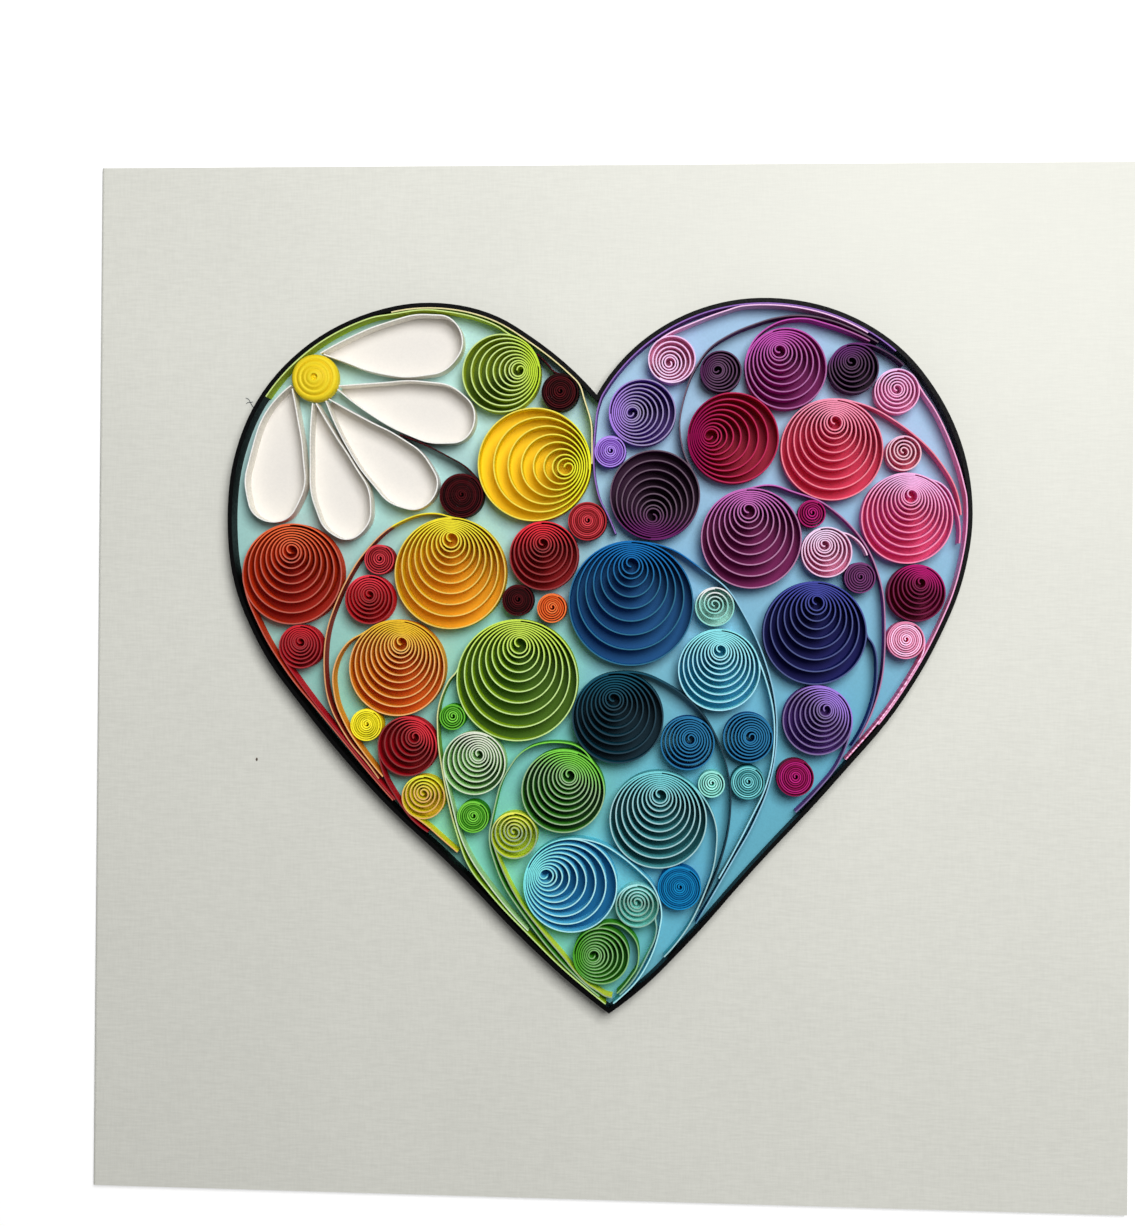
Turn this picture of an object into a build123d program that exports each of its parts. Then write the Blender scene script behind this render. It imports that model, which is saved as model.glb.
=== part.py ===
"""A folded card with a heart of quilled paper: coils and strips on edge inside a black rim.

The card lies on its back, the fold at the left (-X) and the top of the heart towards +Y.
The origin is the middle of the card's underside, and +Z points up through the coils.
"""

from build123d import *
from math import atan2, cos, hypot, pi, radians, sin, sqrt
import os

# The card, in millimetres
card_width = 150.0
card_height = 150.0
leaf_thickness = 0.35
leaf_gap = 0.3

# The quilling strips, which stand on edge
strip_width = 3.0
strip_thickness = 0.18
seat_gap = 0.04
shortest_arc = 0.05
straight_turn = 1e-4
no_turn = 1e-6

# The heart's rim, black strips glued face to face
rim_layers = 3
rim_layer_pitch = 0.2
rim_rise = 0.1

# Loose coils
glue_bite = 0.25
spread_power = 1.4
eye_base = 0.45
eye_share = 0.08
hook_share = 1.15

# Tails, the loose ends of the strips, which run on from the coils
tail_lift = radians(5)
ANTICLOCKWISE = 1
CLOCKWISE = -1

# Tight rolls, whose turns lie evenly
roll_eye_radius = 0.45
roll_eye_distance = 0.1
roll_eye_direction = 60
roll_pitch = 0.24
even_spread = 1.0

# The daisy
daisy_x = -42.2
daisy_y = 43.65
daisy_radius = 3.5
daisy_dome = 0.9
petal_pinch = 4.0

# The heart's outer line from the cleft over the left lobe to the tip, and up the right side
heart_left = [
    (-1.4, 41.3), (-9.6, 48.7), (-17.0, 53.0), (-25.5, 54.5), (-35.6, 52.6), (-44.2, 47.7),
    (-50.7, 40.2), (-54.0, 31.7), (-54.8, 23.8), (-53.6, 13.5), (-50.3, 5.6), (-42.1, -5.8),
    (-32.1, -17.0), (-21.1, -27.1), (-10.6, -37.5), (-5.0, -42.5), (1.1, -47.2),
]
heart_right = [
    (1.1, -47.2), (6.2, -43.1), (11.6, -37.6), (21.8, -25.9), (32.2, -14.4), (42.4, -1.8),
    (46.9, 6.0), (50.6, 15.3), (51.9, 24.5), (50.6, 33.4), (47.2, 41.1), (41.4, 48.2),
    (34.0, 52.8), (26.0, 54.9), (17.5, 54.7), (10.0, 52.2), (4.0, 48.1), (-1.4, 41.3),
]

# Loose coils: centre x and y, outer radius, distance and direction of the eye, turns
loose_coils = {
    "lime_coil": (-15.15, 44.4, 5.65, 2.45, 10, 9),
    "yellow_coil": (-10.3, 31.3, 8.15, 4.5, -5, 8),
    "crimson_coil_left": (-8.8, 18.2, 4.95, 1.7, 95, 8),
    "amber_coil": (-22.3, 15.6, 8.05, 4.75, 89, 10),
    "red_coil_upper": (-34.0, 11.7, 3.55, 0.6, 91, 7),
    "vermilion_coil": (-45.3, 15.3, 7.3, 3.2, 93, 9),
    "red_coil_lower": (-44.0, 4.8, 3.15, 0.6, 91, 7),
    "orange_coil": (-29.9, 1.9, 6.95, 3.5, 81, 11),
    "crimson_coil_small": (-28.3, -9.4, 4.3, 1.6, 51, 7),
    "yellow_coil_small": (-25.9, -16.7, 3.15, 0.4, 90, 5),
    "green_coil_large": (-12.5, 0.3, 8.75, 5.0, 87, 10),
    "pale_green_coil": (-18.6, -11.7, 4.55, 1.3, 64, 8),
    "lime_coil_small": (-12.75, -22.0, 3.35, 0.4, 90, 5),
    "green_coil_small": (-5.75, -15.5, 6.0, 2.3, 69, 10),
    "light_blue_coil": (-4.6, -29.0, 6.75, 3.7, 159, 9),
    "ringed_green_coil": (-0.1, -39.0, 4.05, 1.0, 178, 8),
    "pale_teal_coil": (5.0, -31.75, 3.1, 0.3, 90, 5),
    "teal_coil": (7.9, -19.4, 6.95, 3.4, 86, 10),
    "petrol_coil": (2.0, -4.9, 6.55, 2.6, 103, 9),
    "blue_coil": (3.75, 11.5, 8.95, 5.4, 90, 9),
    "mint_coil": (15.7, 11.1, 2.8, 0.2, 90, 4),
    "sky_coil": (16.4, 2.1, 5.85, 2.7, 87, 10),
    "plum_coil": (20.8, 20.9, 7.15, 3.85, 96, 9),
    "pink_coil_small": (31.5, 19.0, 3.6, 1.0, 106, 7),
    "navy_coil": (29.9, 7.5, 7.35, 4.25, 87, 9),
    "violet_coil": (30.4, -4.9, 4.95, 1.8, 52, 9),
    "magenta_coil": (44.2, 13.3, 4.05, 1.5, 69, 8),
    "pink_coil": (42.75, 23.9, 6.45, 3.15, 80, 11),
    "coral_coil_small": (42.2, 33.1, 2.5, 0.15, 90, 4),
    "coral_coil": (32.1, 33.6, 7.25, 3.8, 84, 10),
    "crimson_coil_top": (18.1, 35.2, 6.5, 3.1, 175, 9),
    "dark_purple_coil": (7.05, 27.0, 6.45, 2.9, 265, 9),
    "lilac_coil": (5.15, 38.8, 4.8, 1.4, 183, 9),
    "pink_coil_top": (9.3, 46.4, 3.4, 0.5, 237, 6),
    "purple_coil_small": (16.3, 44.7, 2.95, 0.45, 162, 7),
    "purple_coil": (25.5, 45.1, 5.8, 2.6, 110, 9),
    "aubergine_coil": (35.1, 45.15, 3.55, 0.9, 109, 7),
    "rose_coil": (41.2, 41.9, 3.2, 0.2, 90, 6),
}

# Two small blue coils that are cut and wound alike
blue_pair = [(20.6, -7.5, 3.55, 0.3, 14, 8), (12.0, -8.4, 3.85, 0.6, 55, 8)]

# Tight rolls: centre x and y, and radius
tight_rolls = {
    "maroon_rolls": [(-6.7, 41.7, 2.65), (-20.8, 26.8, 3.15), (-12.5, 11.8, 2.25)],
    "red_rolls": [(-2.6, 23.2, 2.75), (-32.6, 17.5, 2.15)],
    "orange_roll": [(-7.6, 10.7, 2.1)],
    "yellow_roll": [(-34.3, -6.4, 2.3)],
    "green_rolls": [(-21.8, -5.1, 1.85), (-18.7, -19.4, 2.3)],
    "blue_roll": [(11.0, -29.1, 3.1)],
    "pale_green_roll": [(15.45, -14.2, 1.9)],
    "teal_roll": [(20.6, -13.9, 2.4)],
    "magenta_rolls": [(29.35, 24.45, 1.95), (27.3, -13.1, 2.65)],
    "violet_rolls": [(36.2, 15.4, 2.2), (0.6, 33.2, 2.25)],
    "light_pink_roll": [(42.7, 6.6, 2.65)],
}

# Tails, the loose ends of the coils' strips: the direction from the coil's centre in which each
# leaves, the way it goes on round the centre, and its line from there
tails = {
    "lime_coil": (72, ANTICLOCKWISE, [
        (-16.0, 51.25), (-19.0, 52.4), (-22.5, 53.15), (-26.5, 53.5), (-30.6, 52.95),
    ]),
    "amber_coil": (84, ANTICLOCKWISE, [
        (-25.0, 24.2), (-30.4, 22.5), (-34.9, 18.3), (-37.6, 13.9), (-38.8, 11.2), (-40.0, 7.6),
        (-40.5, 2.2), (-39.8, -2.9), (-37.0, -8.35), (-33.65, -12.4), (-32.4, -14.1),
    ]),
    "orange_coil": (128, ANTICLOCKWISE, [
        (-37.3, 5.2), (-39.1, 1.5), (-38.9, -2.4), (-37.1, -6.8), (-34.35, -10.75), (-31.8, -13.8),
    ]),
    "vermilion_coil": (197, ANTICLOCKWISE, [
        (-49.9, 7.5), (-45.6, 0.7), (-41.0, -4.8), (-37.6, -8.8), (-33.2, -14.0), (-30.3, -17.2),
    ]),
    "red_coil_lower": (216, ANTICLOCKWISE, [
        (-44.3, -0.1), (-40.8, -4.6), (-37.4, -8.6), (-33.0, -13.8), (-30.0, -17.1),
    ]),
    "crimson_coil_small": (188, ANTICLOCKWISE, [(-31.9, -12.9), (-29.5, -17.3), (-27.2, -20.2), (-25.2, -21.7)]),
    "yellow_coil_small": (243, ANTICLOCKWISE, [(-25.3, -20.8), (-23.3, -22.5), (-20.9, -24.5)]),
    "green_coil_large": (168, ANTICLOCKWISE, [
        (-22.6, -0.3), (-23.9, -4.4), (-23.9, -7.3), (-22.9, -14.3), (-21.2, -21.2), (-19.2, -26.5),
        (-15.7, -30.9), (-10.5, -36.2), (-5.75, -40.75), (-3.0, -43.05), (0.6, -45.85),
    ]),
    "pale_green_coil": (192, ANTICLOCKWISE, [(-22.2, -15.9), (-19.6, -24.2), (-15.5, -30.2), (-10.6, -35.6)]),
    "green_coil_small": (40, ANTICLOCKWISE, [
        (-3.3, -9.3), (-7.0, -8.5), (-11.3, -9.7), (-14.0, -13.1), (-15.8, -19.0), (-16.3, -22.3),
        (-15.2, -26.7), (-9.9, -35.2), (-5.9, -39.9), (-4.1, -41.65), (-2.25, -43.25), (-0.3, -44.8),
    ]),
    "lime_coil_small": (205, ANTICLOCKWISE, [
        (-14.9, -25.6), (-12.5, -30.5), (-8.2, -36.2), (-5.5, -39.3), (-3.85, -41.3), (-2.1, -43.05),
        (-0.6, -44.0), (0.7, -44.75), (1.5, -44.9),
    ]),
    "light_blue_coil": (96, CLOCKWISE, [
        (-1.5, -22.6), (3.9, -25.6), (7.85, -30.0), (8.5, -32.6), (8.2, -35.2), (6.6, -39.9),
        (4.9, -42.65), (2.85, -44.75), (1.7, -45.75),
    ]),
    "ringed_green_coil": (105, CLOCKWISE, [
        (0.3, -34.4), (2.1, -34.4), (3.7, -35.3), (5.0, -37.0), (5.3, -38.7), (5.05, -40.5),
        (4.0, -42.2), (2.9, -43.6), (2.2, -44.3),
    ]),
    "pale_teal_coil": (-25, CLOCKWISE, [(7.8, -35.1), (6.1, -39.6), (4.55, -42.35), (2.6, -44.5)]),
    "teal_coil": (60, CLOCKWISE, [
        (13.9, -15.6), (16.0, -19.5), (16.1, -24.5), (14.35, -30.35), (11.7, -35.5), (8.9, -38.95),
    ]),
    "petrol_coil": (93, CLOCKWISE, [
        (5.1, 1.5), (9.1, -0.1), (14.0, -4.1), (16.5, -8.4), (18.0, -13.6), (17.9, -20.7),
        (16.9, -24.9), (15.4, -28.9), (13.9, -32.0),
    ]),
    "blue_coil": (82, CLOCKWISE, [
        (8.9, 19.5), (14.0, 16.35), (17.6, 13.5), (20.0, 9.8), (22.6, 4.3), (24.5, -3.3), (24.6, -8.4),
        (23.45, -14.8), (21.7, -19.2), (17.9, -26.2), (13.4, -34.1),
    ]),
    "sky_coil": (17, CLOCKWISE, [(22.9, 1.2), (24.2, -4.3), (24.3, -8.2), (23.1, -14.6), (21.0, -19.2), (16.6, -27.6)]),
    "plum_coil": (97, CLOCKWISE, [
        (23.4, 28.5), (27.2, 27.4), (28.9, 26.86), (29.96, 26.48), (32.6, 24.8), (37.1, 19.8), (39.1, 14.8),
        (39.8, 7.4), (39.1, -0.3), (36.3, -7.3),
    ]),
    "pink_coil_small": (57, CLOCKWISE, [(34.7, 21.5), (37.2, 18.6)]),
    "navy_coil": (2, CLOCKWISE, [(38.3, 5.6), (38.7, 1.2), (37.4, -4.5), (35.2, -8.6)]),
    "violet_coil": (-5, CLOCKWISE, [(34.8, -7.4), (33.3, -11.1), (30.2, -15.1), (27.4, -18.0)]),
    "coral_coil": (86, CLOCKWISE, [
        (36.1, 40.1), (42.1, 36.9), (47.0, 32.3), (49.7, 27.6), (50.3, 24.4),
    ]),
    "pink_coil": (62, CLOCKWISE, [(47.5, 28.8), (49.7, 25.0), (50.1, 20.4)]),
    "rose_coil": (22, CLOCKWISE, [(47.0, 38.4), (49.0, 34.0), (50.6, 29.0)]),
    "aubergine_coil": (102, CLOCKWISE, [(37.0, 48.5), (40.2, 47.1), (42.1, 45.6)]),
    "purple_coil": (183, CLOCKWISE, [(20.7, 48.7), (24.0, 51.5), (27.6, 52.2), (31.7, 51.3), (37.3, 49.0)]),
    "dark_purple_coil": (33, ANTICLOCKWISE, [
        (11.1, 33.2), (10.5, 37.0), (11.1, 41.0), (12.8, 45.4), (14.6, 47.9), (17.7, 50.0), (21.0, 51.4),
        (24.0, 52.3), (27.6, 52.65), (31.5, 52.0), (35.9, 50.25), (38.5, 48.8),
    ]),
    "pink_coil_top": (122, CLOCKWISE, [(13.3, 52.0), (16.6, 53.2)]),
}

# Tails of tight rolls: which roll of the node, then as above
roll_tails = {
    "maroon_rolls": [
        (0, 88, ANTICLOCKWISE, [(-9.1, 46.3), (-10.1, 47.3)]),
        (1, 20, ANTICLOCKWISE, [(-19.6, 30.3), (-23.9, 33.0), (-29.8, 35.5)]),
    ],
    "light_pink_roll": [(0, 15, CLOCKWISE, [])],
}

# Stretches along the rim's inner face: the side of the heart, how many strips lie between the
# stretch and the rim, and the places where it starts and ends, from the cleft towards the tip
rim_runs = {
    "lime_coil": (heart_left, 0, (-34.5, 52.2), (-49.3, 40.9)),
    "rose_coil": (heart_right, 0, (51.3, 26.5), (39.0, -5.4)),
    "light_pink_roll": (heart_right, 1, (44.8, 3.9), (34.6, -10.6)),
    "pink_coil_top": (heart_right, 1, (19.6, 54.0), (37.2, 50.4)),
}

# Strips that belong to no coil: their line from the free end to where they meet the rim, as above
rim_strips = {
    "yellow_lime_strip": (
        [(-2.02, 31.4), (-2.02, 34.0), (-2.2, 37.4), (-2.9, 39.8)],
        (heart_left, 0, (-4.6, 43.4), (-31.2, 53.3)),
    ),
    "violet_lining": (
        [(1.5, 21.4), (0.3, 24.2), (-0.75, 26.2), (-1.5, 29.1), (-1.78, 33.2), (-1.6, 36.2), (-1.1, 39.8)],
        (heart_right, 0, (-0.3, 41.4), (41.2, 47.8)),
    ),
}

# Daisy petals: the direction in which each leaves the centre, and its line from there and back
petals = {
    "petal_upper": (74.0, [
        (-38.9, 46.4), (-33.4, 44.5), (-27.6, 43.9), (-22.6, 45.4), (-20.8, 48.9), (-22.4, 52.1),
        (-26.0, 52.8), (-32.6, 51.4), (-38.6, 48.8),
    ]),
    "petal_right": (-22.0, [
        (-34.9, 39.0), (-29.5, 35.9), (-24.2, 34.3), (-20.1, 35.2), (-19.0, 38.7),
        (-21.6, 42.0), (-26.9, 43.2), (-33.4, 42.9),
    ]),
    "petal_lower_right": (-60.0, [
        (-38.2, 35.1), (-34.1, 28.9), (-30.4, 25.4), (-26.6, 25.0), (-24.3, 27.9),
        (-25.8, 31.9), (-30.4, 35.5), (-34.4, 37.5),
    ]),
    "petal_lower": (-91.0, [
        (-42.8, 33.0), (-42.1, 25.3), (-40.0, 21.5), (-37.2, 20.4), (-34.5, 22.3),
        (-34.0, 26.3), (-36.8, 31.8), (-39.2, 35.4),
    ]),
    "petal_left": (-159.0, [
        (-49.3, 38.7), (-51.4, 33.0), (-52.2, 27.6), (-50.4, 23.5), (-46.9, 23.0),
        (-44.0, 26.7), (-43.9, 33.1), (-44.8, 38.5),
    ]),
}

card_top = 2 * leaf_thickness + leaf_gap
rim_thickness = rim_layers * rim_layer_pitch
card_face = Plane.XY.offset(card_top)


def end_of(arc):
    """Return the place and heading at the end of an arc (x, y, heading, curvature, length)."""
    x, y, heading, curvature, length = arc
    turn = curvature * length
    chord = length if abs(turn) < no_turn else 2 * sin(turn / 2) / curvature
    return x + chord * cos(heading + turn / 2), y + chord * sin(heading + turn / 2), heading + turn


def arc_to(start, heading, goal):
    """Return the arc that leaves start in a heading and reaches goal."""
    reach = hypot(goal[0] - start[0], goal[1] - start[1])
    half = atan2(goal[1] - start[1], goal[0] - start[0]) - heading
    half = (half + pi) % (2 * pi) - pi
    if abs(half) < no_turn:
        return start[0], start[1], heading, 0.0, reach
    curvature = 2 * sin(half) / reach
    return start[0], start[1], heading, curvature, 2 * half / curvature


def two_arcs(start, start_heading, goal, goal_heading):
    """Return two arcs that run into each other from one place and heading to another."""
    go = (cos(start_heading), sin(start_heading))
    come = (cos(goal_heading), sin(goal_heading))
    across = (goal[0] - start[0], goal[1] - start[1])
    square = across[0] ** 2 + across[1] ** 2
    along = across[0] * (go[0] + come[0]) + across[1] * (go[1] + come[1])
    bend = 2 * (1 - go[0] * come[0] - go[1] * come[1])
    reach = 2 * square / (2 * along + sqrt(4 * along**2 + 4 * bend * square))
    meet = (
        (start[0] + goal[0] + reach * (go[0] - come[0])) / 2,
        (start[1] + goal[1] + reach * (go[1] - come[1])) / 2,
    )
    first = arc_to(start, start_heading, meet)
    return [first, arc_to(meet, end_of(first)[2], goal)]


def headings_along(points):
    """Return a heading at each point: that of the circle through it and its neighbours."""
    steps = [(b[0] - a[0], b[1] - a[1]) for a, b in zip(points, points[1:])]
    ways = [atan2(dy, dx) for dx, dy in steps]
    inner = []
    for (ax, ay), (bx, by) in zip(steps, steps[1:]):
        a = hypot(ax, ay)
        b = hypot(bx, by)
        inner.append(atan2(ay * b / a + by * a / b, ax * b / a + bx * a / b))
    if not inner:
        return [ways[0], ways[0]]
    return [2 * ways[0] - inner[0], *inner, 2 * ways[-1] - inner[-1]]


def smooth_path(points, first=None, last=None):
    """Return arcs that pass smoothly through the points, with a first or last heading if given."""
    headings = headings_along(points)
    if first is not None:
        headings[0] = first
    if last is not None:
        headings[-1] = last
    arcs = []
    for i in range(len(points) - 1):
        arcs += two_arcs(points[i], headings[i], points[i + 1], headings[i + 1])
    return arcs


def beside(arcs, shift):
    """Return the same path moved to its left by shift."""
    moved = []
    for x, y, heading, curvature, length in arcs:
        share = 1 - curvature * shift
        moved.append(
            (x - shift * sin(heading), y + shift * cos(heading), heading, curvature / share, length * share)
        )
    return moved


def turned_back(arcs):
    """Return the same path run the other way."""
    back = []
    for arc in reversed(arcs):
        x, y, heading = end_of(arc)
        back.append((x, y, heading + pi, -arc[3], arc[4]))
    return back


def nearest_on(arc, place):
    """Return how far along an arc its nearest point to a place lies, and how far off that is."""
    x, y, heading, curvature, length = arc
    ahead = (place[0] - x) * cos(heading) + (place[1] - y) * sin(heading)
    aside = (place[1] - y) * cos(heading) - (place[0] - x) * sin(heading)
    if curvature:
        ahead = atan2(ahead * curvature, 1 - aside * curvature) / curvature
    along = min(max(ahead, 0.0), length)
    nearest = end_of((x, y, heading, curvature, along))
    return along, hypot(place[0] - nearest[0], place[1] - nearest[1])


def cut_at(arcs, place):
    """Return the parts of a path before and after its nearest point to a place."""
    found = [nearest_on(arc, place) for arc in arcs]
    i = min(range(len(arcs)), key=lambda k: found[k][1])
    x, y, heading, curvature, length = arcs[i]
    along = found[i][0]
    before = [(x, y, heading, curvature, along)] if along > shortest_arc else []
    after = []
    if length - along > shortest_arc:
        after = [(*end_of((x, y, heading, curvature, along)), curvature, length - along)]
    return [*arcs[:i], *before], [*after, *arcs[i + 1:]]


def rim_run(side, strips_between, start, goal):
    """Return a strip's path along the rim's inner face, from a start to a goal."""
    gap = rim_thickness + seat_gap + strip_thickness / 2
    path = beside(smooth_path(side), gap + strips_between * (strip_thickness + seat_gap))
    if side is heart_right:
        path = turned_back(path)
    return cut_at(cut_at(path, start)[1], goal)[0]


def tail_path(coil, leaving, way, points, run):
    """Return a tail's path from the middle of its coil's outer turn."""
    x, y, radius = coil
    direction = radians(leaving)
    reach = radius - strip_thickness / 2
    start = (x + reach * cos(direction), y + reach * sin(direction))
    first = direction + way * (pi / 2 - tail_lift)
    if run is None:
        return smooth_path([start, *points], first=first)
    along = rim_run(*run)
    return smooth_path([start, *points, along[0][:2]], first=first, last=along[0][2]) + along


def draw(arcs):
    """Draw the arcs in the line at hand, end to end."""
    for arc in arcs:
        x, y, heading, curvature, length = arc
        middle = end_of((x, y, heading, curvature, length / 2))
        goal = end_of(arc)
        if abs(curvature * length) < straight_turn:
            Line((x, y), goal[:2])
        else:
            ThreePointArc((x, y), middle[:2], goal[:2])


def ribbon(arcs, left=strip_thickness / 2, right=strip_thickness / 2):
    """Return the edges round a strip seen on its edge, which reaches left and right of a path."""
    left_side = beside(arcs, left)
    right_side = beside(arcs, -right)
    with BuildLine() as line:
        draw(left_side)
        Line(end_of(left_side[-1])[:2], end_of(right_side[-1])[:2])
        draw(right_side)
        Line(right_side[0][:2], left_side[0][:2])
    return line.edges()


def led_in(arcs, length):
    """Return a path with a straight lead before its start."""
    x, y, heading = arcs[0][:3]
    return [(x - length * cos(heading), y - length * sin(heading), heading, 0.0, length), *arcs]


def led_out(arcs, length):
    """Return a path with a straight lead after its end."""
    return [*arcs, (*end_of(arcs[-1]), 0.0, length)]


def eye_radius(radius):
    """Return the radius of the open eye that a coil of this radius keeps."""
    return eye_base + eye_share * radius


def second_turn(radius):
    """Return how far from a coil's centre its second turn starts, glued to the outer turn."""
    return radius - strip_thickness - strip_thickness / 2 + glue_bite * strip_thickness


def winding(radius, eye, eye_distance, turns, spread):
    """Return the strip's path inside a coil's outer turn, about (0, 0) with the eye at +X.

    The turns lie close together on the eye's side and fan out on the other side, evenly if
    spread is 1, and else closer together towards the eye.
    """
    outer = second_turn(radius)
    close_step = (outer - eye_distance - eye) / (turns - 1)
    open_start = -(radius - strip_thickness / 2)
    open_reach = eye_distance - eye - open_start
    arcs = []
    place = outer
    for turn in range(1, turns):
        fanned = open_start + open_reach * (1 - (1 - turn / (turns - 1)) ** spread)
        half = (place - fanned) / 2
        arcs.append((place, 0.0, pi / 2, 1 / half, pi * half))
        place = outer - turn * close_step
        half = (place - fanned) / 2
        arcs.append((fanned, 0.0, -pi / 2, 1 / half, pi * half))
    hook = hook_share * eye / 2
    arcs.append((place, 0.0, pi / 2, 1 / hook, pi * hook))
    return arcs


def turned(arcs, x, y, angle):
    """Return a path turned about (0, 0) and then moved to x, y."""
    c = cos(angle)
    s = sin(angle)
    return [
        (x + c * ax - s * ay, y + s * ax + c * ay, heading + angle, curvature, length)
        for ax, ay, heading, curvature, length in arcs
    ]


def fill_coil(x, y, radius, path, eye_direction):
    """Fill a coil in the sketch at hand: its outer turn, and the turns along a path inside it."""
    with Locations((x, y)):
        Circle(radius)
        Circle(radius - strip_thickness, mode=Mode.SUBTRACT)
    make_face(ribbon(turned(path, x, y, radians(eye_direction))))


def fill_loose_coil(x, y, radius, eye_distance, eye_direction, turns):
    """Fill one loose coil's turns in the sketch at hand."""
    path = winding(radius, eye_radius(radius), eye_distance, turns, spread_power)
    fill_coil(x, y, radius, path, eye_direction)


def fill_tight_roll(x, y, radius):
    """Fill one tight roll's turns in the sketch at hand."""
    turns = 1 + int((second_turn(radius) - roll_eye_distance - roll_eye_radius) / roll_pitch)
    path = winding(radius, roll_eye_radius, roll_eye_distance, turns, even_spread)
    fill_coil(x, y, radius, path, roll_eye_direction)


def at_daisy(direction):
    """Return the place beside the daisy's centre in a direction, where a petal's end stands."""
    reach = daisy_radius + strip_thickness / 2 + 2 * seat_gap
    return daisy_x + reach * cos(radians(direction)), daisy_y + reach * sin(radians(direction))


def finish(piece, name):
    """Label a piece and write it."""
    piece.part.label = name
    export_step(piece.part, f"parts/{name}.step")


os.makedirs("parts", exist_ok=True)

# The card: two leaves and the fold that joins them, one sheet
with BuildPart() as card:
    with BuildSketch(Plane.XZ.offset(-card_height / 2)):
        fold_radius = card_top / 2
        with BuildLine():
            Polyline(
                (-card_width / 2 + fold_radius, card_top),
                (card_width / 2, card_top),
                (card_width / 2, card_top - leaf_thickness),
                (-card_width / 2 + fold_radius, card_top - leaf_thickness),
            )
            ThreePointArc(
                (-card_width / 2 + fold_radius, card_top - leaf_thickness),
                (-card_width / 2 + leaf_thickness, fold_radius),
                (-card_width / 2 + fold_radius, leaf_thickness),
            )
            Polyline(
                (-card_width / 2 + fold_radius, leaf_thickness),
                (card_width / 2, leaf_thickness),
                (card_width / 2, 0),
                (-card_width / 2 + fold_radius, 0),
            )
            ThreePointArc(
                (-card_width / 2 + fold_radius, 0),
                (-card_width / 2, fold_radius),
                (-card_width / 2 + fold_radius, card_top),
            )
        make_face()
    extrude(amount=card_height)
finish(card, "card")

# The rim: black strips glued face to face round the heart, folded at the cleft
with BuildPart() as rim:
    with BuildSketch(card_face):
        make_face(ribbon(led_in(smooth_path(heart_left), rim_thickness), left=rim_thickness, right=0))
        make_face(ribbon(led_out(smooth_path(heart_right), rim_thickness), left=rim_thickness, right=0))
    extrude(amount=strip_width + rim_rise)
finish(rim, "heart_rim")

# The daisy's petals: a strip bent round into a loop, with both ends at the centre
for name, (direction, points) in petals.items():
    first = at_daisy(direction - petal_pinch)
    last = at_daisy(direction + petal_pinch)
    with BuildPart() as petal:
        with BuildSketch(card_face):
            make_face(ribbon(smooth_path([first, *points, last])))
        extrude(amount=strip_width)
    finish(petal, name)

# The daisy's centre: a roll pushed up into a dome
dome_radius = (daisy_radius**2 + daisy_dome**2) / (2 * daisy_dome)
with BuildPart() as daisy_centre:
    with BuildSketch(Plane(origin=(daisy_x, daisy_y, card_top), x_dir=(1, 0, 0), z_dir=(0, -1, 0))):
        with BuildLine():
            Polyline((0, strip_width + daisy_dome), (0, 0), (daisy_radius, 0), (daisy_radius, strip_width))
            RadiusArc((daisy_radius, strip_width), (0, strip_width + daisy_dome), -dome_radius)
        make_face()
    revolve(axis=Axis((daisy_x, daisy_y, 0), (0, 0, 1)))
finish(daisy_centre, "daisy_centre")

# The loose coils
for name, sizes in loose_coils.items():
    with BuildPart() as coil:
        with BuildSketch(card_face):
            fill_loose_coil(*sizes)
            if name in tails:
                make_face(ribbon(tail_path(sizes[:3], *tails[name], rim_runs.get(name))))
        extrude(amount=strip_width)
    finish(coil, name)

# The pair of small blue coils
with BuildPart() as blue_coils:
    with BuildSketch(card_face):
        for sizes in blue_pair:
            fill_loose_coil(*sizes)
    extrude(amount=strip_width)
finish(blue_coils, "blue_coils_small")

# The tight rolls
for name, rolls in tight_rolls.items():
    with BuildPart() as group:
        with BuildSketch(card_face):
            for roll in rolls:
                fill_tight_roll(*roll)
            for which, *tail in roll_tails.get(name, []):
                make_face(ribbon(tail_path(rolls[which], *tail, rim_runs.get(name))))
        extrude(amount=strip_width)
    finish(group, name)

# The strips that only line the rim and the cleft
for name, (points, run) in rim_strips.items():
    along = rim_run(*run)
    with BuildPart() as strip:
        with BuildSketch(card_face):
            make_face(ribbon(smooth_path([*points, along[0][:2]], last=along[0][2]) + along))
        extrude(amount=strip_width)
    finish(strip, name)
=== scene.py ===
"""A folded card with a heart of quilled paper, dressed and lit as it was photographed."""

from math import cos, radians, sin
import bpy
from mathutils import Matrix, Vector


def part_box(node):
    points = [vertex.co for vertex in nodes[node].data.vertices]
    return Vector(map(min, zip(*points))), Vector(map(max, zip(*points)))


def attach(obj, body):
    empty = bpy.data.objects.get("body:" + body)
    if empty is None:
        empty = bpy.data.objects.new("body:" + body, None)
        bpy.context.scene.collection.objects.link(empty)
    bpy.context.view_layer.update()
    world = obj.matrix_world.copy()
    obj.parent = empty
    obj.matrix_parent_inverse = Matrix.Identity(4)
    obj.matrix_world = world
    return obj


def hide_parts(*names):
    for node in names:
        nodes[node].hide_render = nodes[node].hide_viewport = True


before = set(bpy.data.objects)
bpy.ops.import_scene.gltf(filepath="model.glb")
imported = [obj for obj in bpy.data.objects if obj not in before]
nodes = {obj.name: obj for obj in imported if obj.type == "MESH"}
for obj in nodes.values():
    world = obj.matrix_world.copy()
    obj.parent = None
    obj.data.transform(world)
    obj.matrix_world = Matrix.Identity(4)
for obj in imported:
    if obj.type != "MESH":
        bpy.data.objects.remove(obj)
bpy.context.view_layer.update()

mm = 0.001

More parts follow.
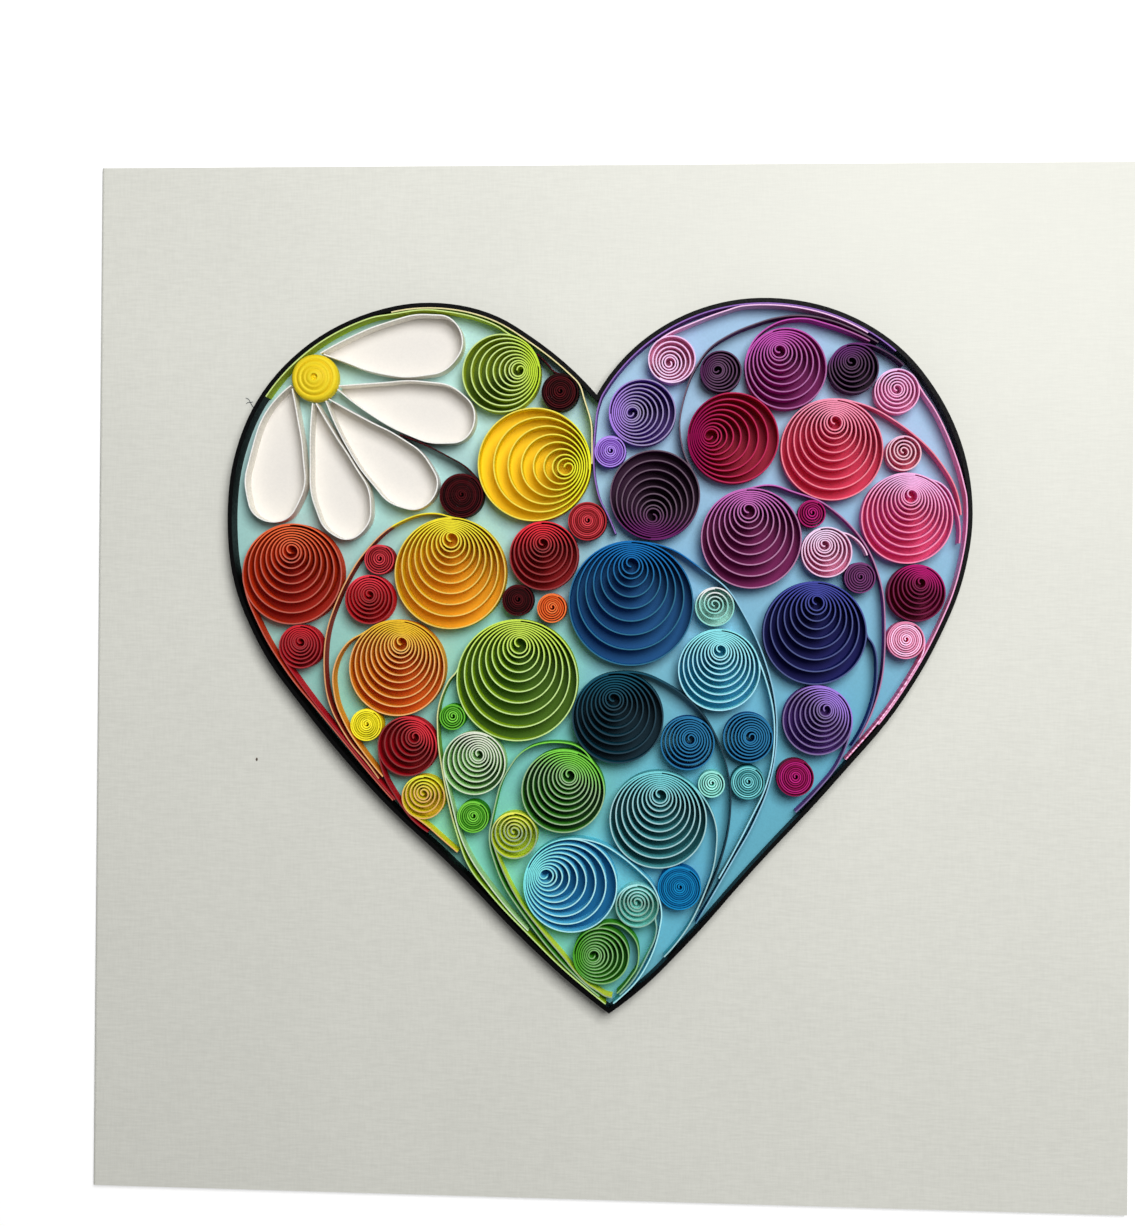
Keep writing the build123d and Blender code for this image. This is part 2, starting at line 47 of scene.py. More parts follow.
# The photograph's camera: its place over the card's front face, its film's width and the nearest
# and farthest that it sees, all in mm, and how it was turned
camera_place = (9.7, 12.8, 230.0)
camera_yaw = radians(-3.17)
camera_pitch = radians(-0.08)
camera_roll = radians(-0.49)
film_width = 36.0
nearest_seen = 10
farthest_seen = 10000

# The photograph in pixels: its size, the focal length, and how far the camera's axis is off centre
image_size = (1138, 1226)
focal_length = 1588.0
centre_moved = (15.8, -21.5)

# The soft lamp's place and size in mm and its power in watts, and the strength of the room's light
lamp_place = (110, 165, 380)
lamp_size = 220
lamp_power = 1.72
room_light = 0.16

# The table top: its width in mm, its colour and roughness, and how brightly the camera sees it glow
table_width = 6000
table_colour = (225, 225, 225)
table_roughness = 0.8
table_glow = 0.5

# Heights in mm: the card's face, the strips' upper edge, the height over the card at which a
# piece's outline is taken, and the thickness of the films of print
card_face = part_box("card")[1].z / mm
strip_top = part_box("vermilion_coil")[1].z / mm
section_height = 0.5
print_thickness = 0.02

# Points of a mesh that are less than this many mm apart are one point
same_point = 0.001

# How many sides a printed disc and the daisy's button have
disc_sides = 72
button_sides = 96

# Papers: the colour of the faces, of the cut edge, and of the disc printed under a coil, which in
# most coils is darker than the paper as painted shade of the coil's well. The rim's second colour is
# that of its specks, and the daisy's centre has its two as painted shade and painted highlight, on
# darker and lighter rings that stand for its grooves and ridges
papers = {
    "lime_coil": ((192, 211, 58), (213, 236, 146), (98, 122, 20)),
    "yellow_coil": ((250, 228, 16), (250, 232, 92), (250, 208, 15)),
    "crimson_coil_left": ((194, 15, 33), (148, 60, 62), (160, 5, 14)),
    "amber_coil": ((250, 208, 22), (244, 206, 104), (240, 172, 15)),
    "red_coil_upper": ((234, 32, 48), (167, 56, 58), (200, 17, 33)),
    "vermilion_coil": ((215, 62, 18), (199, 103, 88), (176, 32, 5)),
    "red_coil_lower": ((210, 24, 40), (170, 55, 61), (182, 14, 28)),
    "orange_coil": ((243, 159, 33), (252, 189, 120), (232, 112, 14)),
    "crimson_coil_small": ((194, 16, 34), (143, 58, 60), (155, 6, 15)),
    "yellow_coil_small": ((250, 238, 40), (248, 194, 116), (250, 212, 45)),
    "green_coil_large": ((167, 205, 28), (208, 240, 153), (75, 112, 11)),
    "pale_green_coil": ((194, 240, 168), (219, 240, 206), (60, 102, 52)),
    "lime_coil_small": ((235, 248, 72), (164, 186, 146), (200, 225, 70)),
    "green_coil_small": ((80, 174, 54), (162, 196, 150), (8, 66, 10)),
    "light_blue_coil": ((107, 217, 246), (183, 245, 252), (6, 108, 155)),
    "ringed_green_coil": ((68, 167, 36), (142, 195, 126), (40, 130, 20)),
    "pale_teal_coil": ((165, 243, 234), (143, 188, 174), (110, 190, 175)),
    "teal_coil": ((98, 193, 199), (170, 214, 219), (4, 84, 90)),
    "petrol_coil": ((8, 72, 92), (40, 66, 79), (0, 45, 60)),
    "blue_coil": ((5, 98, 168), (50, 112, 143), (0, 80, 135)),
    "mint_coil": ((235, 250, 246), (153, 227, 216), (185, 245, 232)),
    "sky_coil": ((168, 246, 250), (172, 234, 252), (45, 140, 180)),
    "plum_coil": ((166, 58, 152), (184, 127, 166), (128, 15, 92)),
    "pink_coil_small": ((252, 190, 222), (252, 204, 236), (252, 165, 202)),
    "navy_coil": ((24, 40, 128), (85, 94, 144), (0, 2, 96)),
    "violet_coil": ((134, 87, 178), (130, 113, 160), (105, 64, 155)),
    "magenta_coil": ((153, 6, 75), (119, 35, 73), (140, 4, 68)),
    "pink_coil": ((250, 145, 205), (252, 145, 182), (248, 90, 145)),
    "coral_coil_small": ((250, 168, 195), (252, 196, 211), (240, 120, 145)),
    "coral_coil": ((236, 114, 156), (248, 134, 153), (226, 60, 98)),
    "crimson_coil_top": ((195, 2, 72), (190, 42, 88), (160, 0, 50)),
    "dark_purple_coil": ((98, 18, 98), (108, 88, 104), (55, 5, 50)),
    "lilac_coil": ((150, 108, 206), (162, 148, 192), (85, 55, 132)),
    "pink_coil_top": ((252, 188, 222), (252, 204, 246), (252, 175, 212)),
    "purple_coil_small": ((67, 15, 65), (99, 68, 98), (30, 2, 30)),
    "purple_coil": ((190, 58, 160), (176, 106, 162), (130, 12, 100)),
    "aubergine_coil": ((62, 12, 70), (87, 61, 87), (40, 3, 38)),
    "rose_coil": ((252, 178, 220), (252, 178, 221), (252, 160, 205)),
    "blue_coils_small": ((5, 72, 138), (45, 124, 172), None),
    "maroon_rolls": ((28, 1, 2), (70, 10, 16), None),
    "red_rolls": ((138, 5, 10), (204, 62, 72), None),
    "orange_roll": ((245, 80, 8), (230, 117, 58), None),
    "yellow_roll": ((250, 236, 15), (252, 237, 55), None),
    "green_rolls": ((48, 148, 10), (124, 208, 70), None),
    "blue_roll": ((5, 107, 170), (18, 128, 184), None),
    "pale_green_roll": ((132, 230, 215), (170, 238, 229), None),
    "teal_roll": ((28, 132, 140), (124, 212, 217), None),
    "magenta_rolls": ((132, 2, 58), (178, 32, 116), None),
    "violet_rolls": ((138, 80, 211), (172, 136, 228), None),
    "light_pink_roll": ((252, 138, 182), (252, 200, 236), None),
    "daisy_centre": ((236, 198, 8), (248, 226, 38), None),
    "yellow_lime_strip": ((165, 205, 40), (245, 232, 175), None),
    "violet_lining": ((110, 70, 150), (150, 110, 190), None),
    "heart_rim": ((3, 3, 4), (20, 20, 22), None),
}
petals = ("petal_upper", "petal_right", "petal_lower_right", "petal_lower", "petal_left")
for petal in petals:
    papers[petal] = ((244, 240, 230), (250, 249, 244), None)

# Papers that change along a piece: where the change starts and ends in mm from left to right,
# and the colour of the faces and of the cut edge beyond it
second_papers = {
    "amber_coil": (-30.6, -31.0, (160, 50, 35), (235, 175, 120)),
    "blue_coil": (13.0, 16.0, (25, 95, 125), (150, 205, 230)),
    "green_coil_large": (-21.4, -21.6, (130, 175, 60), (225, 225, 160)),
    "violet_rolls": (18.0, 19.0, (85, 25, 85), (110, 55, 105)),
}

# The loose coils and the discs printed under them: centre x and y and radius in mm, and the
# direction in which the turns crowd together
loose_coils = {
    "lime_coil": (-15.15, 44.4, 5.65, 10),
    "yellow_coil": (-10.3, 31.3, 8.15, -5),
    "crimson_coil_left": (-8.8, 18.2, 4.95, 95),
    "amber_coil": (-22.3, 15.6, 8.05, 89),
    "red_coil_upper": (-34.0, 11.7, 3.55, 91),
    "vermilion_coil": (-45.3, 15.3, 7.3, 93),
    "red_coil_lower": (-44.0, 4.8, 3.15, 91),
    "orange_coil": (-29.9, 1.9, 6.95, 81),
    "crimson_coil_small": (-28.3, -9.4, 4.3, 51),
    "yellow_coil_small": (-25.9, -16.7, 3.15, 90),
    "green_coil_large": (-12.5, 0.3, 8.75, 87),
    "pale_green_coil": (-18.6, -11.7, 4.55, 64),
    "lime_coil_small": (-12.75, -22.0, 3.35, 90),
    "green_coil_small": (-5.75, -15.5, 6.0, 69),
    "light_blue_coil": (-4.6, -29.0, 6.75, 159),
    "ringed_green_coil": (-0.1, -39.0, 4.05, 178),
    "pale_teal_coil": (5.0, -31.75, 3.1, 90),
    "teal_coil": (7.9, -19.4, 6.95, 86),
    "petrol_coil": (2.0, -4.9, 6.55, 103),
    "blue_coil": (3.75, 11.5, 8.95, 90),
    "mint_coil": (15.7, 11.1, 2.8, 90),
    "sky_coil": (16.4, 2.1, 5.85, 87),
    "plum_coil": (20.8, 20.9, 7.15, 96),
    "pink_coil_small": (31.5, 19.0, 3.6, 106),
    "navy_coil": (29.9, 7.5, 7.35, 87),
    "violet_coil": (30.4, -4.9, 4.95, 52),
    "magenta_coil": (44.2, 13.3, 4.05, 69),
    "pink_coil": (42.75, 23.9, 6.45, 80),
    "coral_coil_small": (42.2, 33.1, 2.5, 90),
    "coral_coil": (32.1, 33.6, 7.25, 84),
    "crimson_coil_top": (18.1, 35.2, 6.5, 175),
    "dark_purple_coil": (7.05, 27.0, 6.45, 265),
    "lilac_coil": (5.15, 38.8, 4.8, 183),
    "pink_coil_top": (9.3, 46.4, 3.4, 237),
    "purple_coil_small": (16.3, 44.7, 2.95, 162),
    "purple_coil": (25.5, 45.1, 5.8, 110),
    "aubergine_coil": (35.1, 45.15, 3.55, 109),
    "rose_coil": (41.2, 41.9, 3.2, 90),
}

# Middles of the tight rolls, x and y in mm
roll_middles = {
    "maroon_rolls": ((-6.7, 41.7), (-20.8, 26.8), (-12.5, 11.8)),
    "red_rolls": ((-2.6, 23.2), (-32.6, 17.5)),
    "orange_roll": ((-7.6, 10.7),),
    "yellow_roll": ((-34.3, -6.4),),
    "green_rolls": ((-21.8, -5.1), (-18.7, -19.4)),
    "blue_roll": ((11.0, -29.1),),
    "pale_green_roll": ((15.45, -14.2),),
    "teal_roll": ((20.6, -13.9),),
    "magenta_rolls": ((29.35, 24.45), (27.3, -13.1)),
    "violet_rolls": ((36.2, 15.4), (0.6, 33.2)),
    "light_pink_roll": ((42.7, 6.6),),
}

# The daisy's button: steps across its face, each as how far in from the last and how far up, and
# about twice how far its middle drifts off centre, in mm
button_steps = (
    (0.25, 0.35), (0.3, 0.2), (0.2, 0.03), (0.12, -0.1), (0.12, 0.08), (0.25, 0.22), (0.2, 0.05),
    (0.15, -0.1), (0.12, 0.06), (0.25, 0.2), (0.2, 0.05), (0.12, -0.08), (0.12, 0.05),
    (0.22, 0.12), (0.3, 0.04), (0.1, -0.02), (0.06, -0.3), (0.08, -0.35), (0.08, 0.02), (0.05, 0.25),
)
button_drift = 0.18

# A crumb that lies on the card: its place and its size in mm, the shape that it is pressed into, how
# far its middle lies over the card's face in mm, and how far its points are shaken in mm
crumb_place = (-51.0, -11.9)
crumb_size = 0.4
crumb_shape = (0.7, 1.2, 0.4)
crumb_lift = crumb_size / 6
crumb_shake = crumb_size / 8
crumb_seed = 4
crumb_colour = (96, 80, 70)

# Loose fibres beside the rim: their place, lift and thickness in mm, and each one's turn in degrees
# and how far it reaches to either side in mm
fibre_place = (-52.5, 40.4)
fibre_lift = 0.15
fibre_thickness = 0.07
fibre_colour = (40, 60, 75)
rim_fibres = ((-50, 0.9), (15, 0.5))

# Other colours: the board, the white inside the petals, and the field inside the rim
board_colour = (228, 228, 219)
petal_white = (236, 232, 226)
field_top_left = (184, 222, 220)
field_top_right = (160, 198, 226)
field_low_left = (134, 208, 194)
field_low_right = (104, 184, 206)

# Where the field's colour changes, in mm: downwards from the first height to the second, and from
# the first place to the second towards the right
field_fall = (35, -8)
field_turn = (-22, 12)

# Textures: how many mm across their blotches are, how much they are drawn out along x, y and z, and
# how fine their detail is
textures = {
    "strip fibre": (0.25, (1, 1, 2.5), 3),
    "dye cloud": (6.0, (1, 1, 1), 2),
    "button fibre": (0.25, (1, 1, 1), 3),
    "rim fibre": (0.3, (1, 1, 1), 5),
    "rim speck": (0.12, (1, 1, 1), 2),
    "long thread": (0.3, (7, 1, 1), 2),
    "cross thread": (0.3, (1, 7, 1), 2),
    "pearl cloud": (30.0, (1, 1, 1), 3),
    "print grain": (0.3, (1, 1, 1), 4),
}
cross_thread_share = 0.6

# The turns of a roll, seen as darker and lighter rings, partly their own tone and partly painted
# shade in the gaps between
# turns and painted light on them: about how many mm lie between a dark and a light one, and how fine
# their detail is
ring_width = 0.45
ring_detail = 1

# How much each texture darkens and lightens the colour
fibre_tint = (0.9, 1.1)
dye_tint = (0.94, 1.05)
# The rolls' rings darken and lighten partly as their own tone and partly as painted shade and
# painted light
ring_shade_tint = (0.8, 1.4)
button_tint = (0.95, 1.05)
weave_tint = (0.955, 1.03)
cloud_tint = (0.985, 1.015)
field_tint = (0.96, 1.04)
ink_tint = (0.98, 1.02)

# Between which of its values a texture has its whole effect: most textures, the rings whose darker
# turns take their faces' colour as painted shade, the specks on the rim, and the weave
usual_range = (0.3, 0.7)
ring_shade_range = (0.3, 0.6)
speck_range = (0.62, 0.75)
weave_range = (0.55, 1.05)

# Finishes: least and greatest roughness, gloss, and the strength and the depth in mm of the relief
finishes = {
    "strip": (0.6, 0.8, 0.1, 0.25, 0.04),
    "button": (0.6, 0.6, 0.3, 0.4, 0.08),
    "rim": (0.4, 0.6, 0.08, 0.3, 0.05),
    "board": (0.5, 0.62, 0.35, 0.35, 0.05),
    "field": (0.6, 0.6, 0.3, 0.2, 0.03),
    "ink": (0.65, 0.65, 0.3, 0.1, 0.02),
}
board_sheen = 0.1

# How squarely a surface faces up where a strip's face ends and where its cut edge begins
cut_edge_range = (0.6, 0.9)

# A surface that faces up at least this squarely is the top of a turned piece
faces_up = 0.9

# How far from a coil's middle its turns begin to be pressed together, and are, as shares of its
# radius
pressed_range = (0.2, 0.75)

# Where turns are pressed together, their cut edges are painted with the light bounced between the
# turns and the shade
# between them, mixed from face and edge: shares of the two colours, and the palest that the sum may
# be
pressed_face_share = 1.1
pressed_edge_share = 0.2
palest_paper = 0.95

# Coils whose pressed turns have painted light and shade of their own colour
painted_pressed_papers = {
    "lime_coil": (203, 236, 62),
    "crimson_coil_left": (242, 50, 64),
    "red_coil_upper": (240, 60, 75),
    "vermilion_coil": (250, 112, 64),
    "red_coil_lower": (220, 45, 56),
    "orange_coil": (250, 200, 50),
    "crimson_coil_small": (232, 56, 68),
    "green_coil_large": (215, 245, 90),
    "pale_green_coil": (245, 250, 230),
    "green_coil_small": (132, 225, 78),
    "ringed_green_coil": (84, 172, 46),
    "sky_coil": (150, 242, 250),
    "plum_coil": (202, 108, 188),
    "navy_coil": (70, 76, 165),
    "violet_coil": (174, 134, 238),
    "magenta_coil": (184, 24, 112),
    "pink_coil": (250, 182, 232),
    "coral_coil": (250, 150, 180),
    "crimson_coil_top": (146, 1, 76),
    "dark_purple_coil": (105, 34, 100),
    "purple_coil": (198, 84, 180),
    "aubergine_coil": (104, 48, 112),
}


def shade(colour):
    """Return a colour given as 0 to 255 in linear values, by the curve of the sRGB standard."""
    linear = []
    for value in colour:
        share = value / 255
        linear.append(share / 12.92 if share <= 0.04045 else ((share + 0.055) / 1.055) ** 2.4)
    return (*linear, 1.0)


def painted_pressed_colour(name, face, edge):
    """Return the painted light and shade on a coil's turns where they are pressed together."""
    if name in painted_pressed_papers:
        return shade(painted_pressed_papers[name])
    both = zip(shade(face)[:3], shade(edge)[:3])
    mixed = [pressed_face_share * flat + pressed_edge_share * cut for flat, cut in both]
    return (*[min(value, palest_paper) for value in mixed], 1.0)


def select_only(piece):
    """Leave one piece selected and active."""
    bpy.ops.object.select_all(action="DESELECT")
    piece.select_set(True)
    bpy.context.view_layer.objects.active = piece


def edit_all():
    """Go into edit mode with all of the active piece selected."""
    bpy.ops.object.mode_set(mode="EDIT")
    bpy.ops.mesh.select_all(action="SELECT")


def settle(piece, name, material):
    """Name a finished piece, give it its paper and let it ride on the card."""
    select_only(piece)
    bpy.ops.object.transform_apply(location=True, rotation=True, scale=True)
    piece.name = name
    piece.data.name = name
    piece.data.materials.clear()
    piece.data.materials.append(material)
    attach(piece, "root")


class Sheet:
    """A paper's node tree, with short ways to add to it."""

    def __init__(self, name):
        self.material = bpy.data.materials.new(name)
        self.material.use_nodes = True
        self.tree = self.material.node_tree
        self.shader = self.tree.nodes["Principled BSDF"]
        self.place = self.add("ShaderNodeTexCoord").outputs["Object"]

    def add(self, kind, **settings):
        """Add a node and set what it is."""
        node = self.tree.nodes.new(kind)
        for key, value in settings.items():
            setattr(node, key, value)
        return node

    def link(self, source, target):
        """Join an output to an input."""
        self.tree.links.new(source, target)

    def give(self, value, target):
        """Give an input a number or a colour, or join an output to it."""
        if isinstance(value, (int, float, tuple)):
            target.default_value = value
        else:
            self.link(value, target)

    def axis(self, vector, letter):
        """Return a vector's X, Y or Z."""
        parts = self.add("ShaderNodeSeparateXYZ")
        self.link(vector, parts.inputs["Vector"])
        return parts.outputs[letter]

    def texture(self, name):
        """Return one of the textures, as a value."""
        size, stretch, detail = textures[name]
        mapping = self.add("ShaderNodeMapping")
        mapping.inputs["Scale"].default_value = [1 / (size * mm * along) for along in stretch]
        self.link(self.place, mapping.inputs["Vector"])
        noise = self.add("ShaderNodeTexNoise")
        noise.inputs["Scale"].default_value = 1.0
        noise.inputs["Detail"].default_value = detail
        self.link(mapping.outputs["Vector"], noise.inputs["Vector"])
        return noise.outputs["Fac"]

    def spread(self, value, low=0.0, high=1.0, within=usual_range):
        """Return a value that goes from low to high while another goes through a range."""
        ranged = self.add("ShaderNodeMapRange")
        ranged.inputs["From Min"].default_value = within[0]
        ranged.inputs["From Max"].default_value = within[1]
        ranged.inputs["To Min"].default_value = low
        ranged.inputs["To Max"].default_value = high
        self.link(value, ranged.inputs["Value"])
        return ranged.outputs["Result"]

    def calc(self, operation, first, second):
        """Return the result of a sum on two values, each an output or a number."""
        node = self.add("ShaderNodeMath", operation=operation)
        self.give(first, node.inputs[0])
        self.give(second, node.inputs[1])
        return node.outputs["Value"]

    def blend(self, share, first, second):
        """Return two colours blended by a share, each an output or a colour."""
        node = self.add("ShaderNodeMix", data_type="RGBA")
        sockets = {socket.identifier: socket for socket in (*node.inputs, *node.outputs)}
        self.link(share, sockets["Factor_Float"])
        self.give(first, sockets["A_Color"])
        self.give(second, sockets["B_Color"])
        return sockets["Result_Color"]

    def paint(self, colour, tint):
        """Colour the surface, made lighter and darker by a value about 1."""
        node = self.add("ShaderNodeVectorMath", operation="SCALE")
        self.give(colour[:3] if isinstance(colour, tuple) else colour, node.inputs["Vector"])
        self.link(tint, node.inputs["Scale"])
        self.link(node.outputs["Vector"], self.shader.inputs["Base Color"])

    def rings(self, middles):
        """Return a value that changes from ring to ring round the nearest of these middles."""
        flat = self.add("ShaderNodeMapping")
        flat.inputs["Scale"].default_value = (1, 1, 0)
        self.link(self.place, flat.inputs["Vector"])
        nearest = None
        for x, y in middles:
            away = self.add("ShaderNodeVectorMath", operation="DISTANCE")
            self.link(flat.outputs["Vector"], away.inputs[0])
            away.inputs[1].default_value = (x * mm, y * mm, 0)
            distance = away.outputs["Value"]
            nearest = self.calc("MINIMUM", distance, nearest) if nearest else distance
        ringed = self.add("ShaderNodeTexNoise", noise_dimensions="1D")
        ringed.inputs["Detail"].default_value = ring_detail
        ringed.inputs["Scale"].default_value = 1 / (ring_width * mm)
        self.link(nearest, ringed.inputs["W"])
        return ringed.outputs["Fac"]

    def finish(self, kind, relief, within=usual_range):
        """Give the surface its roughness, gloss and relief, and return the paper."""
        smoothest, roughest, gloss, strength, depth = finishes[kind]
        if smoothest < roughest:
            roughness = self.spread(relief, smoothest, roughest, within)
            self.link(roughness, self.shader.inputs["Roughness"])
        else:
            self.shader.inputs["Roughness"].default_value = roughest
        self.shader.inputs["Specular IOR Level"].default_value = gloss
        bump = self.add("ShaderNodeBump")
        bump.inputs["Strength"].default_value = strength
        bump.inputs["Distance"].default_value = depth * mm
        self.link(relief, bump.inputs["Height"])
        self.link(bump.outputs["Normal"], self.shader.inputs["Normal"])
        return self.material


def pressed_side(sheet, x, y, radius, direction):
    """Return a value that rises from 0 to 1 towards the side where a coil's turns crowd."""
    way = (cos(radians(direction)), sin(radians(direction)), 0)
    along = sheet.add("ShaderNodeVectorMath", operation="DOT_PRODUCT")
    sheet.link(sheet.place, along.inputs[0])
    along.inputs[1].default_value = way
    middle = x * way[0] + y * way[1]
    within = [(middle + share * radius) * mm for share in pressed_range]
    return sheet.spread(along.outputs["Value"], within=within)


def strip_paper(name, face, edge):
    """Return dyed quilling paper: a face with short fibres, and a cut edge of another shade."""
    sheet = Sheet(name)
    normal = sheet.add("ShaderNodeNewGeometry").outputs["Normal"]
    cut = sheet.spread(sheet.axis(normal, "Z"), within=cut_edge_range)
    fibre = sheet.texture("strip fibre")
    dye = sheet.spread(sheet.texture("dye cloud"), *dye_tint)
    tint = sheet.calc("MULTIPLY", sheet.spread(fibre, *fibre_tint), dye)
    edge_colour = shade(edge)
    # On a loose coil's crowded side, the cut edges take painted light and shade: the glow bounced
    # between the tight turns and the shade between them
    if name in loose_coils:
        pressed = pressed_side(sheet, *loose_coils[name])
        edge_colour = sheet.blend(pressed, edge_colour, painted_pressed_colour(name, face, edge))
    # A tight roll's rings at random: darker turns in the face colour as painted shade of the gaps,
    # lighter ones as painted light, besides the turns' own tone
    if name in roll_middles:
        rings = sheet.rings(roll_middles[name])
        edge_colour = sheet.blend(sheet.spread(rings, within=ring_shade_range), shade(face), edge_colour)
        tint = sheet.calc("MULTIPLY", tint, sheet.spread(rings, *ring_shade_tint))
    colour = sheet.blend(cut, shade(face), edge_colour)
    if name in second_papers:
        start, end, second_face, second_edge = second_papers[name]
        beyond = sheet.spread(sheet.axis(sheet.place, "X"), within=(start * mm, end * mm))
        second = sheet.blend(cut, shade(second_face), shade(second_edge))
        colour = sheet.blend(beyond, colour, second)
    sheet.paint(colour, tint)
    return sheet.finish("strip", fibre)


def button_paper():
    """Return the daisy's yellow paper, finely ringed by its turns, with darker and lighter rings as
    painted shade and painted highlight.
    """
    sheet = Sheet("daisy yellow paper")
    low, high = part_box("daisy_centre")
    middle = ((low.x + high.x) / 2 / mm, (low.y + high.y) / 2 / mm)
    rings = sheet.rings((middle,))
    # Darker and lighter rings at random radii: painted shade for the grooves, painted highlight for
    # the ridges
    painted_groove_shade, painted_ridge_light, _ = papers["daisy_centre"]
    colour = sheet.blend(sheet.spread(rings), shade(painted_groove_shade), shade(painted_ridge_light))
    sheet.paint(colour, sheet.spread(sheet.texture("button fibre"), *button_tint))
    return sheet.finish("button", rings)


def rim_paper(name, face, speck):
    """Return the rim's black paper, a little glossy and lightly specked."""
    sheet = Sheet(name)
    specked = sheet.spread(sheet.texture("rim speck"), within=speck_range)
    sheet.link(sheet.blend(specked, shade(face), shade(speck)), sheet.shader.inputs["Base Color"])
    return sheet.finish("rim", sheet.texture("rim fibre"))


def linen_board():
    """Return the card's pearly board, pressed with a fine linen weave."""
    sheet = Sheet("pearl linen board")
    across = sheet.calc("MULTIPLY", sheet.texture("cross thread"), cross_thread_share)
    weave = sheet.calc("ADD", sheet.texture("long thread"), across)
    cloud = sheet.spread(sheet.texture("pearl cloud"), *cloud_tint)
    tint = sheet.calc("MULTIPLY", sheet.spread(weave, *weave_tint, within=weave_range), cloud)
    sheet.paint(shade(board_colour), tint)
    sheet.shader.inputs["Sheen Weight"].default_value = board_sheen
    return sheet.finish("board", weave, within=weave_range)


def field_ink():
    """Return the heart's printed field: pale at the top, aqua below, greener on the left."""
    sheet = Sheet("blue heart print")
    fall = sheet.spread(sheet.axis(sheet.place, "Y"), within=[height * mm for height in field_fall])
    side = sheet.spread(sheet.axis(sheet.place, "X"), within=[place * mm for place in field_turn])
    top = sheet.blend(side, shade(field_top_left), shade(field_top_right))
    low = sheet.blend(side, shade(field_low_left), shade(field_low_right))
    grain = sheet.texture("print grain")
    sheet.paint(sheet.blend(fall, top, low), sheet.spread(grain, *field_tint))
    return sheet.finish("field", grain)


def plain_ink(name, colour):
    """Return one plain colour with the grain of printed board."""
    sheet = Sheet(name)
    grain = sheet.texture("print grain")
    sheet.paint(shade(colour), sheet.spread(grain, *ink_tint))
    return sheet.finish("ink", grain)


def section_of(node, name):
    """Return the outline of a CAD piece a little over the card, as edges."""
    piece = bpy.data.objects.new(name, nodes[node].data.copy())
    bpy.context.collection.objects.link(piece)
    select_only(piece)
    edit_all()
    bpy.ops.mesh.remove_doubles(threshold=same_point * mm)
    bpy.ops.mesh.bisect(
        plane_co=(0, 0, (card_face + section_height) * mm),
        plane_no=(0, 0, 1),
        clear_inner=True,
        clear_outer=True,
    )
    bpy.ops.object.mode_set(mode="OBJECT")
    return piece


def lay_on_card(piece, lift):
    """Set a piece down so that its underside is lift mm above the card's face."""
    low = min(vertex.co.z for vertex in piece.data.vertices)
    piece.location.z += (card_face + lift) * mm - low


def raise_film():
    """Draw what is selected up by the thickness of a film of print, and select all."""
    bpy.ops.mesh.extrude_region_move(TRANSFORM_OT_translate={"value": (0, 0, print_thickness * mm)})
    bpy.ops.mesh.select_all(action="SELECT")


def as_print(piece, lift):
    """Turn a flat face into a film of print, lift mm above the card."""
    edit_all()
    bpy.ops.mesh.normals_make_consistent(inside=False)
    raise_film()
    bpy.ops.mesh.normals_make_consistent(inside=False)
    bpy.ops.mesh.quads_convert_to_tris(ngon_method="BEAUTY")
    bpy.ops.object.mode_set(mode="OBJECT")
    lay_on_card(piece, lift)


def heart_print():
    """Fill the rim's inner line with the blue field."""
    section_of("heart_rim", "heart_print")
    edit_all()
    bpy.ops.mesh.separate(type="LOOSE")
    bpy.ops.object.mode_set(mode="OBJECT")
    loops = sorted(bpy.context.selected_objects, key=lambda loop: loop.dimensions.x)
    inner = loops[0]
    for loop in loops[1:]:
        bpy.data.objects.remove(loop)
    select_only(inner)
    edit_all()
    bpy.ops.mesh.edge_face_add()
    bpy.ops.object.mode_set(mode="OBJECT")
    as_print(inner, 0.0)
    settle(inner, "heart_print", field_ink())


def petal_print(petal, white_ink):
    """Fill a petal with white."""
    piece = section_of(petal, petal + "_print")
    edit_all()
    raise_film()
    bpy.ops.mesh.convex_hull()
    bpy.ops.object.mode_set(mode="OBJECT")
    lay_on_card(piece, print_thickness)
    settle(piece, petal + "_print", white_ink)


def disc_print_and_well_shade(name, x, y, radius, colour):
    """Print a disc of the coil's colour under it, darker in most coils as painted shade of the
    coil's well.
    """
    bpy.ops.mesh.primitive_circle_add(
        vertices=disc_sides, radius=radius * mm, fill_type="NGON", location=(x * mm, y * mm, 0),
    )
    piece = bpy.context.object
    as_print(piece, print_thickness)
    settle(piece, name + "_print", plain_ink(name + " print", colour))


def daisy_button():
    """Turn the daisy's centre: a strip wound into rings that rise to a dimple with a curl in it."""
    low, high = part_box("daisy_centre")
    radius = (high.x - low.x) / 2
    height = strip_top * mm - low.z
    bpy.ops.mesh.primitive_cylinder_add(
        vertices=button_sides, radius=radius, depth=height,
        location=((low.x + high.x) / 2, (low.y + high.y) / 2, low.z + height / 2),
    )
    piece = bpy.context.object
    bpy.ops.object.mode_set(mode="EDIT")
    bpy.ops.mesh.select_mode(type="FACE")
    bpy.ops.mesh.select_all(action="DESELECT")
    bpy.ops.object.mode_set(mode="OBJECT")
    for face in piece.data.polygons:
        face.select = face.normal.z > faces_up
    bpy.ops.object.mode_set(mode="EDIT")
    count = len(button_steps)
    for number, (inward, upward) in enumerate(button_steps, start=1):
        drift = button_drift * number / count / count
        bpy.ops.mesh.inset(thickness=inward * mm, depth=0)
        bpy.ops.transform.translate(value=(drift * mm, drift * mm, upward * mm))
    bpy.ops.mesh.select_mode(type="VERT")
    bpy.ops.object.mode_set(mode="OBJECT")
    piece.modifiers.new("soft rings", "SUBSURF").levels = 2
    bpy.ops.object.modifier_apply(modifier="soft rings")
    bpy.ops.object.shade_smooth()
    settle(piece, "daisy_button", button_paper())
    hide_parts("daisy_centre")


